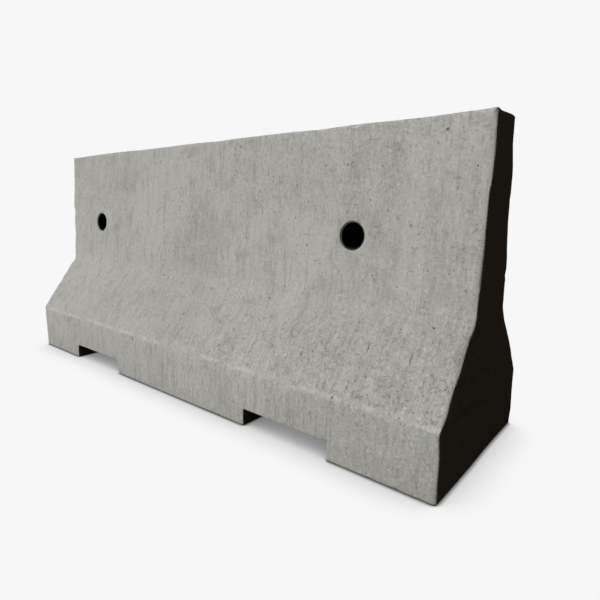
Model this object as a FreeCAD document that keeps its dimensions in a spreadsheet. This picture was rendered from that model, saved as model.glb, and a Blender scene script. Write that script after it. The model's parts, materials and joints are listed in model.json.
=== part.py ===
import FreeCAD, Part
import math
import os
import re
import Sketcher
from FreeCAD import Placement, Rotation, Vector

# Concrete jersey barrier, one free-standing precast unit.
#
# The unit is cast in one piece round a tied steel cage. Its section has a nearly upright kerb, a sloped foot
# and a slim tapered stem. Two plastic pipe sleeves run through the stem, for a lifting pin or a tie-down
# strap, and two slots under the base take the forks of a truck and let rain water through.
#
# Frame: origin at the middle of the base, +X along the unit, +Y towards its back, +Z up, in millimetres.
# Every steel piece is a separate solid with a thin skin of concrete between it and its neighbours, and the
# concrete body has the room of each one cut out of it, so no two solids share any volume.

# Driving dimensions, in millimetres. Each name is a cell's alias.
SIZES = {
    # outside of the casting
    "unit_length": 1830,
    "unit_height": 813,
    "base_width": 508,
    "kerb_width": 495,  # across the top of the kerb, which leans in as mould draft
    "kerb_height": 168,
    "waist_width": 188,  # where the sloped foot meets the stem
    "waist_height": 371,
    "crown_width": 120,
    "kerb_radius": 14,
    "waist_radius": 45,
    "edge_radius": 7,
    # fork slots
    "slot_width": 293,
    "slot_height": 51,
    "slot_centre": 482,
    # lifting holes and their sleeves
    "hole_height": 540,
    "left_hole": -679,
    "right_hole": 577,
    "sleeve_diameter": 75,
    "sleeve_wall": 3,
    "sleeve_recess": 3,
    # cage
    "main_bar": 12,
    "stirrup_bar": 10,
    "bend_radius": 25,  # of a stirrup bar's centre line
    "side_cover": 35,
    "crown_cover": 30,
    "end_cover": 50,
    "skin": 0.5,  # concrete left between two neighbouring pieces
    "slope_corner_low": 153,  # levels of the hairpin's bends at the kerb and at the waist
    "slope_corner_high": 356,
    "crossbar_tip": 150,
    "crown_half": 27,  # half the width between the two bends of a hairpin's crown
    "upper_stem_level": 640,  # levels of the straight bars
    "lower_stem_level": 430,
    "slope_level": 253,
    "frame_from_hole": 85,
    "middle_frames": 5,
    # lifting bars
    "lifting_half": 48,
    "lifting_bend_radius": 40,
    "lifting_toe": 95,
    "toe_gap": 3.5,
    # tie wire and cover spacers
    "wire_diameter": 1.6,
    "tie_radius": 12.6,
    "twist_length": 12,
    "wheel_radius": 38,
    "wheel_width": 8,
    "hub_radius": 11.5,
    "window_reach": 30.5,
    "spoke_width": 3,
    "spoke_count": 6,
    "mouth_width": 8,
    "stem_wheel_level": 500,
    "slope_wheel_level": 210,
}

doc = FreeCAD.newDocument("jersey_barrier")
sheet = doc.addObject("Spreadsheet::Sheet", "Sizes")
for row, (alias, value) in enumerate(SIZES.items(), start=1):
    sheet.set(f"A{row}", alias)
    sheet.set(f"B{row}", str(value))
    sheet.setAlias(f"B{row}", alias)
doc.recompute()

X_AXIS, Y_AXIS, Z_AXIS = Vector(1, 0, 0), Vector(0, 1, 0), Vector(0, 0, 1)
ALONG_X = Rotation(Z_AXIS, X_AXIS)
SECTION_PLANE = Placement(Vector(), Rotation(Y_AXIS, Z_AXIS, X_AXIS, "XYZ"))  # sketch x, y run along Y, Z
SIDE_PLANE = Placement(Vector(), Rotation(X_AXIS, Z_AXIS, -Y_AXIS, "XYZ"))  # sketch x, y run along X, Z
FRAMES_WITH_SPACERS = (0, 4, 6, 10)  # of the eleven, counted from the left end
NODES = []  # the objects that become parts, in order


def in_doc(expression):
    """The expression as other objects write it, with the sheet's name before each alias."""
    return re.sub(r"[a-z]+(?:_[a-z]+)*", lambda m: "Sizes." + m[0] if m[0] in SIZES else m[0], expression)


def size(expression):
    """An expression's value, for geometry worked out here or that has to start near its solution."""
    return float(sheet.evalExpression(in_doc(expression)))


def bind(thing, name, expression):
    thing.setExpression(name, in_doc(expression))


def keep(thing, label):
    """Names a finished sub-part and puts it on the list of parts."""
    thing.Label = label
    NODES.append(thing)
    return thing


def origin_plane(body, role):
    return next(f for f in body.Origin.OriginFeatures if f.Role == role)


def sketch_in(body, name, role):
    """A sketch on one of the body's own origin planes."""
    sketch = body.newObject("Sketcher::SketchObject", name)
    sketch.AttachmentSupport = [(origin_plane(body, role), "")]
    sketch.MapMode = "FlatFace"
    return sketch


def place_point(sketch, geometry, end, across, up):
    """Fixes a point of the sketch at two expressions."""
    for kind, expression in (("DistanceX", across), ("DistanceY", up)):
        at = sketch.addConstraint(Sketcher.Constraint(kind, -1, 1, geometry, end, size(expression)))
        bind(sketch, f"Constraints[{at}]", expression)


def draw_polygon(sketch, corners):
    """A closed outline through corners, each a pair of expressions."""
    points = [Vector(size(a), size(b), 0) for a, b in corners]
    after = points[1:] + points[:1]
    sides = [sketch.addGeometry(Part.LineSegment(p, q)) for p, q in zip(points, after)]
    for side, following in zip(sides, sides[1:] + sides[:1]):
        sketch.addConstraint(Sketcher.Constraint("Coincident", side, 2, following, 1))
    for side, (across, up) in zip(sides, corners):
        place_point(sketch, side, 1, across, up)


def draw_circle(sketch, across, up, radius):
    """A circle whose centre and radius are expressions."""
    centre = Vector(size(across), size(up), 0)
    circle = sketch.addGeometry(Part.Circle(centre, Z_AXIS, size(radius)))
    place_point(sketch, circle, 3, across, up)
    at = sketch.addConstraint(Sketcher.Constraint("Radius", circle, size(radius)))
    bind(sketch, f"Constraints[{at}]", f"{radius}")


def rounded_bend(before, corner, after, radius):
    """The arc that rounds a corner, its two ends, and which of its ends comes first along the path."""
    back = (before - corner).normalize()
    on = (after - corner).normalize()
    opening = back.getAngle(on)
    start = corner + back * (radius / math.tan(opening / 2))
    end = corner + on * (radius / math.tan(opening / 2))
    centre = corner + (back + on).normalize() * (radius / math.sin(opening / 2))
    turns_left = back.x * on.y - back.y * on.x < 0
    first, last = (start, end) if turns_left else (end, start)
    a0 = math.atan2(first.y - centre.y, first.x - centre.x)
    a1 = math.atan2(last.y - centre.y, last.x - centre.x)
    if a1 < a0:
        a1 += 2 * math.pi
    arc = Part.ArcOfCircle(Part.Circle(centre, Z_AXIS, radius), a0, a1)
    return arc, start, end, 1 if turns_left else 2


def draw_bent_bar(sketch, corners, radius):
    """The centre line of a bent bar: straight legs, and a bend of one radius at each inner corner.

    The corners are pairs of expressions. Where two legs would meet, a construction point carries the
    corner's place, so that each leg follows the sheet.
    """
    points = [Vector(size(a), size(b), 0) for a, b in corners]
    inner = zip(points, points[1:], points[2:])
    bends = [rounded_bend(before, corner, after, size(radius)) for before, corner, after in inner]
    starts = [points[0]] + [end for _, _, end, _ in bends]
    ends = [start for _, start, _, _ in bends] + [points[-1]]
    legs = [sketch.addGeometry(Part.LineSegment(p, q)) for p, q in zip(starts, ends)]
    for i, (arc, _, _, first) in enumerate(bends):
        bend = sketch.addGeometry(arc)
        sketch.addConstraint(Sketcher.Constraint("Tangent", legs[i], 2, bend, first))
        sketch.addConstraint(Sketcher.Constraint("Tangent", bend, 3 - first, legs[i + 1], 1))
        at = sketch.addConstraint(Sketcher.Constraint("Radius", bend, size(radius)))
        bind(sketch, f"Constraints[{at}]", radius)
        corner = sketch.addGeometry(Part.Point(points[i + 1]), True)
        sketch.addConstraint(Sketcher.Constraint("PointOnObject", corner, 1, legs[i]))
        sketch.addConstraint(Sketcher.Constraint("PointOnObject", corner, 1, legs[i + 1]))
        place_point(sketch, corner, 1, *corners[i + 1])
    place_point(sketch, legs[0], 1, *corners[0])
    place_point(sketch, legs[-1], 2, *corners[-1])


# ----------------------------------------------------------------------------------------------------
# The casting, before the room of the sleeves and the cage is cut out of it.


def half(width):
    return f"{width} / 2"


def make_casting():
    """The section padded along the unit, with softened edges, the two fork slots and the two holes."""
    body = doc.addObject("PartDesign::Body", "casting")
    section = sketch_in(body, "section", "YZ_Plane")
    right = [
        (half("base_width"), "0"),
        (half("kerb_width"), "kerb_height"),
        (half("waist_width"), "waist_height"),
        (half("crown_width"), "unit_height"),
    ]
    left = [("-" + across, up) for across, up in reversed(right)]
    draw_polygon(section, right + left)
    pad = body.newObject("PartDesign::Pad", "length_of_unit")
    pad.Profile = section
    pad.Midplane = True
    bind(pad, "Length", "unit_length")
    doc.recompute()

    end, top = size("unit_length / 2"), size("unit_height")
    waist, kerb = size("waist_height"), size("kerb_height")
    round_edges(body, "waist_fillet", "waist_radius", lambda m, box: abs(m.z - waist) < 1 and abs(m.x) < 1)
    round_edges(body, "kerb_fillet", "kerb_radius", lambda m, box: abs(m.z - kerb) < 1 and abs(m.x) < 1)
    round_edges(
        body,
        "edge_fillet",
        "edge_radius",
        lambda m, box: abs(m.z - top) < 1 or (abs(abs(m.x) - end) < 1 and box.ZMax > 1),
    )

    slots = sketch_in(body, "fork_slots", "XZ_Plane")
    for side in ("-", ""):
        inner = f"{side}(slot_centre - slot_width / 2)"
        outer = f"{side}(slot_centre + slot_width / 2)"
        low = "-slot_height"
        draw_polygon(slots, [(inner, low), (outer, low), (outer, "slot_height"), (inner, "slot_height")])
    cut_through(body, slots, "slot_cut")

    holes = sketch_in(body, "lifting_holes", "XZ_Plane")
    for across in ("left_hole", "right_hole"):
        draw_circle(holes, across, "hole_height", "sleeve_diameter / 2")
    cut_through(body, holes, "hole_cut")
    return body


def round_edges(body, name, radius, test):
    """A fillet on the edges whose middle and bounding box pass the test."""
    shaped, names = body.Tip, []
    for i, edge in enumerate(body.Shape.Edges, start=1):
        middle = edge.valueAt((edge.FirstParameter + edge.LastParameter) / 2)
        if test(middle, edge.BoundBox):
            names.append(f"Edge{i}")
    fillet = body.newObject("PartDesign::Fillet", name)
    fillet.Base = (shaped, names)
    bind(fillet, "Radius", radius)
    doc.recompute()


def cut_through(body, sketch, name):
    """Cuts a sketch right through the body, both ways, and makes sure that it took something away."""
    before = body.Shape.Volume
    pocket = body.newObject("PartDesign::Pocket", name)
    pocket.Profile = sketch
    pocket.Type = "ThroughAll"
    pocket.Midplane = True
    doc.recompute()
    if body.Shape.Volume > before - 1:
        raise RuntimeError(f"{name} cut nothing")
    return pocket


# ----------------------------------------------------------------------------------------------------
# The sleeves: lengths of pipe, trimmed parallel to the battered faces of the stem and a little inside them.


def make_stem_trim():
    """A tapered block a little slimmer than the stem, which trims the sleeves. Its own Y stands up."""
    block = doc.addObject("Part::Wedge", "stem_trim")
    half_waist = "(waist_width / 2 - sleeve_recess)"
    half_crown = "(crown_width / 2 - sleeve_recess)"
    spans = {"X": "unit_length / 2", "X2": "unit_length / 2", "Z": half_waist, "Z2": half_crown}
    for name, expression in spans.items():
        bind(block, name + "min", "-" + expression)
        bind(block, name + "max", expression)
    bind(block, "Ymin", "waist_height")
    bind(block, "Ymax", "unit_height")
    block.Placement = Placement(Vector(), Rotation(X_AXIS, 90))
    return block


def make_sleeve(label, across, trim):
    """One length of pipe through the stem."""
    outside = pipe_core(label + "_outside", across, "sleeve_diameter / 2")
    inside = pipe_core(label + "_inside", across, "sleeve_diameter / 2 - sleeve_wall")
    pipe = doc.addObject("Part::Cut", label + "_pipe")
    pipe.Base = outside
    pipe.Tool = inside
    sleeve = doc.addObject("Part::Common", label)
    sleeve.Base = pipe
    sleeve.Tool = trim
    keep(sleeve, label)


def pipe_core(name, across, radius):
    """A cylinder along Y, centred on the mid plane, at a hole."""
    core = doc.addObject("Part::Cylinder", name)
    bind(core, "Radius", radius)
    bind(core, "Height", "base_width")
    core.Placement = Placement(Vector(), Rotation(X_AXIS, -90))
    bind(core, "Placement.Base.x", across)
    bind(core, "Placement.Base.y", "-base_width / 2")
    bind(core, "Placement.Base.z", "hole_height")
    return core


# ----------------------------------------------------------------------------------------------------
# The cage. Each frame is a hairpin that follows the section, with a crossbar beside it under the foot.

LEG_COVER = "(side_cover + stirrup_bar / 2)"
LAP_STEP = "(stirrup_bar + skin)"  # a crossbar lies beside its hairpin
CROSSBAR_LEVEL = "(slot_height + side_cover + stirrup_bar)"
TOE_HALF = f"(kerb_width / 2 - {LEG_COVER})"
CROWN_LINE = "(unit_height - crown_cover - stirrup_bar / 2)"
BAR_STEP = "(stirrup_bar / 2 + skin + main_bar / 2)"  # from a stirrup's line to that of the bar beside it

# Corners of one half of a hairpin, from its foot to its crown.
HAIRPIN_HALF = [
    (TOE_HALF, CROSSBAR_LEVEL),
    (TOE_HALF, "slope_corner_low"),
    (f"waist_width / 2 - {LEG_COVER}", "slope_corner_high"),
    ("crown_half", CROWN_LINE),
]


def frame_places():
    """Where the frames stand along the unit, as expressions.

    There is one at each end, one on each side of each hole, and the middle ones are spread evenly between
    the holes.
    """
    end = "(unit_length / 2 - end_cover - 2 * stirrup_bar)"
    first = "(left_hole + frame_from_hole)"
    last = "(right_hole - frame_from_hole)"
    places = ["-" + end, "left_hole - frame_from_hole", first]
    gaps = int(size("middle_frames")) + 1
    places += [f"{first} + ({last} - {first}) * {i} / {gaps}" for i in range(1, gaps)]
    return places + [last, "right_hole + frame_from_hole", end]


def bar_section(name, diameter, facing, **place):
    """The round section that a bent bar's path starts from, at expressions for its x, y and z."""
    circle = doc.addObject("Part::Circle", name)
    bind(circle, "Radius", f"{diameter} / 2")
    circle.Placement = Placement(Vector(), facing)
    for axis, expression in place.items():
        bind(circle, f"Placement.Base.{axis}", expression)
    return circle


def bent_bar(label, path, section):
    """One bar swept along a path that its twins share."""
    bar = doc.addObject("Part::Sweep", label)
    bar.Sections = [section]
    bar.Spine = (path, [f"Edge{i + 1}" for i in range(len(path.Shape.Edges))])
    bar.Solid = True
    return keep(bar, label)


def free_sketch(name, plane):
    sketch = doc.addObject("Sketcher::SketchObject", name)
    sketch.Placement = plane
    return sketch


def make_hairpins(places):
    """A hairpin at each frame: up the kerb, in along the slope, up the stem, over the crown and down."""
    path = free_sketch("hairpin_path", SECTION_PLANE)
    left = [(f"-({across})", up) for across, up in reversed(HAIRPIN_HALF)]
    draw_bent_bar(path, HAIRPIN_HALF + left, "bend_radius")
    section = bar_section("hairpin_section", "stirrup_bar", Rotation(), y=TOE_HALF, z=CROSSBAR_LEVEL)
    doc.recompute()
    for i, place in enumerate(places, start=1):
        hairpin = bent_bar(f"stem_hairpin_{i:02d}", path, section)
        bind(hairpin, "Placement.Base.x", place)


def make_crossbars(places):
    """A U-bar across the foot at each frame, its ends turned up beside the hairpin's legs."""
    path = free_sketch("crossbar_path", SECTION_PLANE)
    right = [(TOE_HALF, "crossbar_tip"), (TOE_HALF, CROSSBAR_LEVEL)]
    left = [("-" + across, up) for across, up in reversed(right)]
    draw_bent_bar(path, right + left, "bend_radius")
    section = bar_section("crossbar_section", "stirrup_bar", Rotation(), y=TOE_HALF, z=right[0][1])
    doc.recompute()
    for i, place in enumerate(places, start=1):
        crossbar = bent_bar(f"base_crossbar_{i:02d}", path, section)
        bind(crossbar, "Placement.Base.x", f"{place} + {LAP_STEP}")


def inside_leg(level):
    """How far from the mid plane a straight bar lies that touches the hairpin's stem leg at a level."""
    low_half, low = f"(waist_width / 2 - {LEG_COVER})", "slope_corner_high"
    lean = f"({low_half} - crown_half) / ({CROWN_LINE} - {low})"
    return f"(crown_half + ({CROWN_LINE} - {level}) * {lean} - {BAR_STEP} * sqrt(1 + pow({lean}; 2)))"


def inside_slope(level):
    """The same for a bar that touches the hairpin's slope leg."""
    low_half, low = TOE_HALF, "slope_corner_low"
    high_half, high = f"(waist_width / 2 - {LEG_COVER})", "slope_corner_high"
    run = f"({low_half} - {high_half}) / ({high} - {low})"
    return f"({high_half} + ({high} - {level}) * {run} - {BAR_STEP} * sqrt(1 + pow({run}; 2)))"


def corner_step():
    """How far a bar nested in a crossbar's bend lies inside the bend's corner, across and up."""
    nest = "(bend_radius - stirrup_bar / 2 - main_bar / 2 - skin)"
    return f"(bend_radius - {nest} * sqrt(0.5))"


LONG_BARS = {
    "crown_bar": ("0", f"{CROWN_LINE} - {BAR_STEP}"),
    "upper_stem_bar_front": ("-" + inside_leg("upper_stem_level"), "upper_stem_level"),
    "upper_stem_bar_back": (inside_leg("upper_stem_level"), "upper_stem_level"),
    "lower_stem_bar_front": ("-" + inside_leg("lower_stem_level"), "lower_stem_level"),
    "lower_stem_bar_back": (inside_leg("lower_stem_level"), "lower_stem_level"),
    "slope_bar_front": ("-" + inside_slope("slope_level"), "slope_level"),
    "slope_bar_back": (inside_slope("slope_level"), "slope_level"),
    "toe_bar_front": (f"-({TOE_HALF} - {corner_step()})", f"{CROSSBAR_LEVEL} + {corner_step()}"),
    "toe_bar_back": (f"{TOE_HALF} - {corner_step()}", f"{CROSSBAR_LEVEL} + {corner_step()}"),
    "base_centre_bar": ("0", f"{CROSSBAR_LEVEL} + {BAR_STEP}"),
}


def make_long_bars():
    """The straight bars that run from end to end inside the frames."""
    for label, (across, up) in LONG_BARS.items():
        bar = doc.addObject("Part::Cylinder", label)
        bind(bar, "Radius", "main_bar / 2")
        bind(bar, "Height", "unit_length - 2 * end_cover")
        bar.Placement = Placement(Vector(), ALONG_X)
        bind(bar, "Placement.Base.x", "end_cover - unit_length / 2")
        bind(bar, "Placement.Base.y", across)
        bind(bar, "Placement.Base.z", up)
        keep(bar, label)


LIFTING_TOE_LEVEL = f"({CROSSBAR_LEVEL} + {BAR_STEP} + main_bar + toe_gap)"
LIFTING_BARS = {"lifting_bar_left": "left_hole", "lifting_bar_right": "right_hole"}


def make_lifting_bars():
    """A U-bar over each sleeve takes the lifting load down. Its toes lie along the base centre bar."""
    path = free_sketch("lifting_path", SIDE_PLANE)
    right = [
        ("lifting_half + lifting_toe", LIFTING_TOE_LEVEL),
        ("lifting_half", LIFTING_TOE_LEVEL),
        ("lifting_half", "hole_height + lifting_half"),
    ]
    left = [(f"-({across})", up) for across, up in reversed(right)]
    draw_bent_bar(path, right + left, "lifting_bend_radius")
    section = bar_section("lifting_section", "main_bar", ALONG_X, x=right[0][0], z=LIFTING_TOE_LEVEL)
    doc.recompute()
    for label, hole in LIFTING_BARS.items():
        bar = bent_bar(label, path, section)
        bind(bar, "Placement.Base.x", hole)


# ----------------------------------------------------------------------------------------------------
# Tie wires and cover spacers: small pieces in groups of separate solids.


def ring_of_wire(centre, normal, radius):
    """A closed loop of wire. Its section has six sides, which keeps more than a hundred loops light."""
    wire = size("wire_diameter / 2")
    turns = [math.radians(60 * i) for i in range(6)]
    corners = [Vector(radius + wire * math.cos(turn), 0, wire * math.sin(turn)) for turn in turns]
    section = Part.Face(Part.makePolygon(corners + corners[:1]))
    ring = section.revolve(Vector(), Z_AXIS, 360)
    ring.Placement = Placement(centre, Rotation(Z_AXIS, normal))
    return ring


def twisted_tail(start, direction):
    """The loop's two ends, twisted together into a short taper."""
    wire = size("wire_diameter")
    return Part.makeCone(wire, wire / 2, size("twist_length"), start, direction.normalize())


def tie_crossing(centre, inward, along_a, along_b):
    """One knot: a ring round two crossing bars, in the plane of their diagonal, and a tail inside the cage."""
    diagonal = (along_a + along_b).normalize()
    radius = size("tie_radius")
    ring = ring_of_wire(centre, inward.cross(diagonal).normalize(), radius)
    return ring.fuse(twisted_tail(centre + inward * radius, inward + diagonal * 0.5))


def bar_centre(name, x):
    """A point on a straight bar's centre line."""
    across, up = LONG_BARS[name]
    return Vector(x, size(across), size(up))


def leg_direction(side, low, high):
    """Along one straight leg of the hairpin, upwards, on the side where y has this sign."""
    ends = [Vector(0, side * size(across), size(up)) for across, up in (low, high)]
    return (ends[1] - ends[0]).normalize()


def legs(side):
    """The hairpin's stem and slope legs on one side: each one's direction, and the way outwards from it."""
    _, toe, waist, crown = HAIRPIN_HALF
    ups = [leg_direction(side, waist, crown), leg_direction(side, toe, waist)]
    return [(up, Vector(0, side * up.z, -side * up.y)) for up in ups]


def frame_ties(x, beside):
    """The knots of one frame, whose hairpin stands at x and its crossbar beside it."""
    to_knot = size(f"{BAR_STEP} / 2 - (main_bar - stirrup_bar) / 4")
    over_crown = bar_centre("crown_bar", x) + Z_AXIS * to_knot
    under_base = bar_centre("base_centre_bar", beside) - Z_AXIS * to_knot
    made = [tie_crossing(centre, -Z_AXIS, X_AXIS, Y_AXIS) for centre in (over_crown, under_base)]
    for side, suffix in ((-1, "front"), (1, "back")):
        (stem_up, stem_out), (slope_up, slope_out) = legs(side)
        toe_out, toe_up = Vector(0, side, -1).normalize(), Vector(0, side, 1).normalize()
        for bar, at, up, out in (
            ("upper_stem_bar_", x, stem_up, stem_out),
            ("lower_stem_bar_", x, stem_up, stem_out),
            ("slope_bar_", x, slope_up, slope_out),
            ("toe_bar_", beside, toe_up, toe_out),
        ):
            made.append(tie_crossing(bar_centre(bar + suffix, at) + out * to_knot, -out, X_AXIS, up))
    return made


def make_ties(places):
    for i, place in enumerate(places, start=1):
        keep_group(f"tie_wires_{i:02d}", frame_ties(size(place), size(f"{place} + {LAP_STEP}")))
    toe_ties = []
    for hole in LIFTING_BARS.values():
        for away in (-1, 1):
            x = size(hole) + away * size("lifting_half + lifting_toe - stirrup_bar * 2")
            middle = Vector(x, 0, size(f"({LIFTING_TOE_LEVEL} + {LONG_BARS['base_centre_bar'][1]}) / 2"))
            radius = size("main_bar + toe_gap / 2 + wire_diameter / 2 + skin")
            ring = ring_of_wire(middle, X_AXIS, radius)
            toe_ties.append(ring.fuse(twisted_tail(middle + Y_AXIS * radius, Y_AXIS)))
    keep_group("lifting_bar_ties", toe_ties)


def keep_group(label, solids):
    """Identical small pieces share one node, as a compound of separate solids."""
    group = doc.addObject("Part::Feature", label)
    group.Shape = Part.makeCompound(solids)
    group.Placement = Placement()
    return keep(group, label)


def make_wheel():
    """One cover spacer: a spoked wheel with a bore along Z for the bar, and a mouth that snaps over it."""
    body = doc.addObject("PartDesign::Body", "wheel")
    doc.recompute()
    disc = sketch_in(body, "disc", "XY_Plane")
    draw_circle(disc, "0", "0", "wheel_radius")
    draw_circle(disc, "0", "0", "stirrup_bar / 2 + skin")
    pad = body.newObject("PartDesign::Pad", "disc_pad")
    pad.Profile = disc
    pad.Midplane = True
    bind(pad, "Length", "wheel_width")
    doc.recompute()

    window = sketch_in(body, "window", "XY_Plane")
    rise = "(tan(180 deg / spoke_count) * {0} - spoke_width / 2 / cos(180 deg / spoke_count))"
    near, far = rise.format("hub_radius"), rise.format("window_reach")
    upper = [("window_reach", far), ("hub_radius", near)]
    lower = [("hub_radius", "-" + near), ("window_reach", "-" + far)]
    draw_polygon(window, lower + upper)
    windows = cut_through(body, window, "window_cut")
    pattern = body.newObject("PartDesign::PolarPattern", "windows")
    pattern.Originals = [windows]
    pattern.Axis = (window, ["N_Axis"])
    pattern.Angle = 360
    bind(pattern, "Occurrences", "spoke_count")
    body.Tip = pattern
    doc.recompute()

    mouth = sketch_in(body, "mouth", "XY_Plane")
    low, high, reach = "-mouth_width / 2", "mouth_width / 2", "wheel_radius * 1.1"
    draw_polygon(mouth, [("0", low), (reach, low), (reach, high), ("0", high)])
    cut_through(body, mouth, "mouth_cut")
    return body


def wheels_on_legs(wheel, places, leg, level):
    """Copies of the wheel on one leg of each hairpin, front and back, with their mouths turned inwards."""
    low, high = HAIRPIN_HALF[leg], HAIRPIN_HALF[leg + 1]
    copies = []
    for place in places:
        for side in (-1, 1):
            foot = Vector(size(place), side * size(low[0]), size(low[1]))
            up = leg_direction(side, low, high)
            inward = Vector(0, -side * up.z, side * up.y)
            at = foot + up * ((size(level) - foot.z) / up.z)
            copy = wheel.Shape.copy()
            copy.Placement = Placement(at, Rotation(inward, up.cross(inward), up, "ZXY"))
            copies.append(copy)
    return copies


def make_cover_spacers(places):
    wheel = make_wheel()
    with_wheels = [places[i] for i in FRAMES_WITH_SPACERS]
    keep_group("stem_cover_spacers", wheels_on_legs(wheel, with_wheels, 2, "stem_wheel_level"))
    keep_group("slope_cover_spacers", wheels_on_legs(wheel, with_wheels, 1, "slope_wheel_level"))


# ----------------------------------------------------------------------------------------------------
# The whole unit.


def pour_concrete(casting, steel):
    """The casting with the room of everything that lies inside it cut out."""
    inside = doc.addObject("Part::Compound", "cast_in")
    inside.Links = steel
    concrete = doc.addObject("Part::Cut", "concrete_body")
    concrete.Base = casting
    concrete.Tool = inside
    return keep(concrete, "concrete_body")


def check_document():
    """Stops on any object that failed, and on any part whose shape is missing or not valid."""
    failed = [o.Name for o in doc.Objects if {"Invalid", "Error"} & set(o.State)]
    if failed:
        raise RuntimeError(f"these objects failed: {failed}")
    for node in NODES:
        if node.Shape.isNull() or not node.Shape.isValid() or not node.Shape.Solids:
            raise RuntimeError(f"{node.Label} has no valid solid")


def main():
    casting = make_casting()
    places = frame_places()
    make_long_bars()
    make_hairpins(places)
    make_crossbars(places)
    make_lifting_bars()
    make_ties(places)
    make_cover_spacers(places)
    doc.recompute()
    pour_concrete(casting, list(NODES))
    trim = make_stem_trim()
    make_sleeve("lifting_sleeve_left", "left_hole", trim)
    make_sleeve("lifting_sleeve_right", "right_hole", trim)
    doc.recompute()
    check_document()
    os.makedirs("parts", exist_ok=True)
    for old in os.listdir("parts"):
        os.remove(os.path.join("parts", old))
    for node in NODES:
        node.Shape.exportStep(f"parts/{node.Label}.step")
        print(f"{node.Label}: {len(node.Shape.Solids)} solids, {node.Shape.Volume / 1000:.1f} cm3")


main()
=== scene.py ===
# %% [markdown]
# # A precast concrete road barrier
# The barrier is one long casting with two lengths of black pipe through it and a steel cage inside. Its packed
# CAD model is the frame: everything here is placed by it, in metres, with the base on the floor at z = 0.
# The camera comes first, then the casting, its wear, the finishes, and the studio.

# %% Load the frame
import json
import math
import random

import bmesh
import bpy
from mathutils import Matrix, Vector, noise


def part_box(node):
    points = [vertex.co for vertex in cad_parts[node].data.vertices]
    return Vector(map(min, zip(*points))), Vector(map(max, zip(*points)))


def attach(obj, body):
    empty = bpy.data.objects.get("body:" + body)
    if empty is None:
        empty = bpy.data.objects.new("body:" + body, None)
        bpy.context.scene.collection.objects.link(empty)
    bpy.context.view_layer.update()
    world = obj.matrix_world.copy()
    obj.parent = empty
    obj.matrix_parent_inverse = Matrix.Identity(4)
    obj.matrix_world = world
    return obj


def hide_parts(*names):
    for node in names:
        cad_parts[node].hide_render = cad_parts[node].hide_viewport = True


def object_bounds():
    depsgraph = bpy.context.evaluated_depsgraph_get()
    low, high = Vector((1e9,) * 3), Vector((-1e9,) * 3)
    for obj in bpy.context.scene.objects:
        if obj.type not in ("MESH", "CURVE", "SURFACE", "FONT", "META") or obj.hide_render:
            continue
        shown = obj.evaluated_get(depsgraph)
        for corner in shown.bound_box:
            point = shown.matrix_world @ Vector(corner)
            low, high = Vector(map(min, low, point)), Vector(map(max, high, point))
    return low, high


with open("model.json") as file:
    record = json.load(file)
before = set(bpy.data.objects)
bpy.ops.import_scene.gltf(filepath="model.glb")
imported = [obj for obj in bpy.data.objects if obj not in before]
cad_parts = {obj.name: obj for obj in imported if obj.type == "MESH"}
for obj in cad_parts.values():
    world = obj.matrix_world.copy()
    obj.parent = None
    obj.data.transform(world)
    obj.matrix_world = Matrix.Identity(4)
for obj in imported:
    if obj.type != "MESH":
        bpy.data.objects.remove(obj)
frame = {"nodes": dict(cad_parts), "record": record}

cad_low, cad_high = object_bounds()
print("CAD box:", [round(v, 4) for v in (*cad_low, *cad_high)])

# %% [markdown]
# ## The camera
# A wide lens stands low beside the near end, a little above mid height, so the long face runs away to the left
# and the crown's flat top just hides. The lens, the place and the two angles are a perspective solved from the
# corners of a block of this size, which is surer than turning a camera by eye.

# %% Place the camera
CAMERA_PLACE = Vector((1.2665, -1.1254, 0.6312))
CAMERA_HEADING = -0.6906
CAMERA_DROP = 0.2059
LENS_MM = 28.78
SENSOR_MM = 36.0


def add_camera():
    camera = bpy.data.objects.new("camera", bpy.data.cameras.new("camera"))
    camera.data.lens = LENS_MM
    camera.data.sensor_width = SENSOR_MM
    level, drop = math.cos(CAMERA_DROP), math.sin(CAMERA_DROP)
    ahead = Vector((math.sin(CAMERA_HEADING) * level, math.cos(CAMERA_HEADING) * level, -drop))
    camera.location = CAMERA_PLACE
    camera.rotation_euler = ahead.to_track_quat("-Z", "Y").to_euler()
    bpy.context.scene.collection.objects.link(camera)
    bpy.context.scene.camera = camera
    return ahead


print("camera looks along", [round(v, 3) for v in add_camera()])

# %% [markdown]
# ## The casting's block
# The real unit is poured in a steel mould, so its section is the same all along: a kerb, a foot that slopes in
# and a slim stem. It could be a cube pushed about by hand, but eight corners of the section, filled and extruded
# once, say the same thing and keep every wall flat.

# %% Extrude the section
KERB_HALF = 0.2475
KERB_TOP = 0.168
WAIST_HALF = 0.094
WAIST = 0.371
CROWN_HALF = 0.060
FOOT_HALF = cad_high.y
CROWN = cad_high.z
END = cad_high.x


def extrude_section():
    bm = bmesh.new()
    half = [(FOOT_HALF, 0.0), (KERB_HALF, KERB_TOP), (WAIST_HALF, WAIST), (CROWN_HALF, CROWN)]
    outline = half + [(-y, z) for y, z in reversed(half)]
    first = bm.faces.new([bm.verts.new((-END, y, z)) for y, z in outline])
    grown = bmesh.ops.extrude_face_region(bm, geom=[first])
    far = [g for g in grown["geom"] if isinstance(g, bmesh.types.BMVert)]
    bmesh.ops.translate(bm, verts=far, vec=(2 * END, 0, 0))
    bmesh.ops.recalc_face_normals(bm, faces=bm.faces)
    return bm


def tell(step, bm):
    triangles = sum(len(face.verts) - 2 for face in bm.faces)
    closed = all(edge.is_manifold for edge in bm.edges)
    print(f"{step}: {len(bm.faces)} faces, {triangles} triangles, closed: {closed}")


casting = extrude_section()
tell("block", casting)

# %% [markdown]
# ## Edges that a mould leaves
# Fresh concrete seldom fills a sharp corner, so every arris comes out a little round, and the waist has a wide
# soft fillet. A bevel on chosen edges does it. The waist is done first, because it is the widest.

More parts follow.
